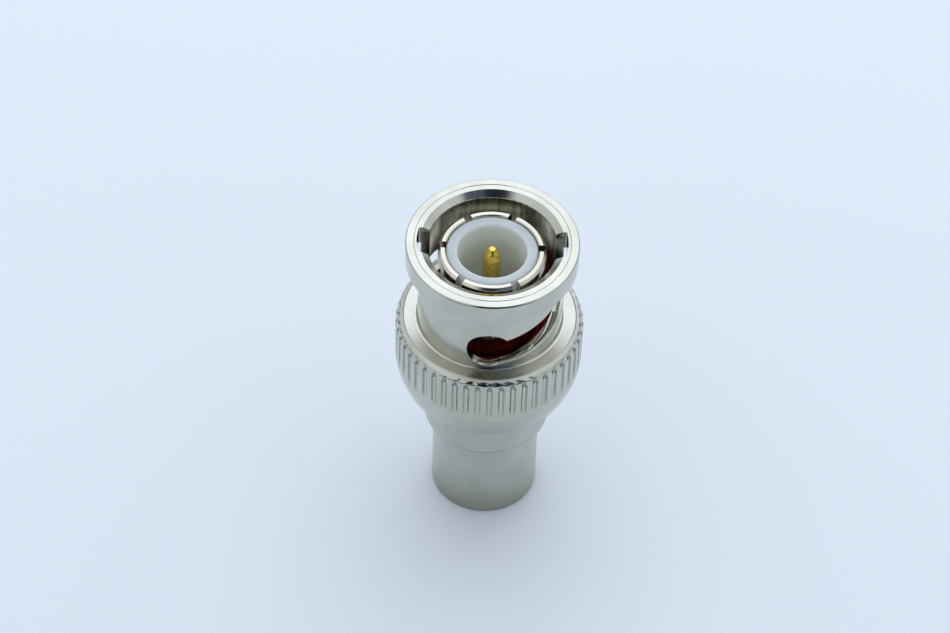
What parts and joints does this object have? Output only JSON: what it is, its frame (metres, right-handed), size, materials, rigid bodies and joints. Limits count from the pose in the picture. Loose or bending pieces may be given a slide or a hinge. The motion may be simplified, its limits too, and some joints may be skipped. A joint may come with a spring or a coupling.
{
  "type": "bnc to rca adapter",
  "caption": "Coaxial video adapter: a bayonet plug with a turning, sprung coupling nut on one end and a phono jack on the other.",
  "frame": {"origin": "centre of the phono jack's end face, on which the adapter stands", "axes": "+Z along the common axis, out of the bayonet plug's mouth; the coupling nut's entry channels face +X and -X at rest"},
  "size_m": [0.0144, 0.0144, 0.0277],
  "materials": {
    "nut_nickel": "satin",
    "shell_nickel": "satin",
    "contact_nickel": "polished",
    "washer_steel": "satin",
    "gasket_rubber": "satin",
    "cup_plastic": "satin",
    "sleeve_plastic": "satin",
    "gold_plate": "polished",
    "socket_nickel": "satin"
  },
  "bodies": {
    "adapter_body": {"jack_shell": "shell_nickel", "plug_contact": "contact_nickel", "gasket": "gasket_rubber", "wave_washer": "washer_steel", "plug_insulator": "cup_plastic", "centre_pin": "gold_plate", "socket_contact": "socket_nickel", "socket_insulator": "sleeve_plastic"},
    "thrust_washer": {"thrust_washer": "washer_steel"},
    "coupling_nut": {"coupling_nut": "nut_nickel"}
  },
  "joints": [
    {"name": "nut_pull", "type": "slide", "parent": "adapter_body", "child": "thrust_washer", "axis": [0, 0, 1], "range_m": [0, 0.0008], "stiffness_N_per_m": 2000, "springref_m": -0.0005, "deforming": ["wave_washer"]},
    {"name": "nut_turn", "type": "hinge", "parent": "thrust_washer", "child": "coupling_nut", "pos_m": [0, 0, 0.0205], "axis": [0, 0, 1], "continuous": true}
  ]
}
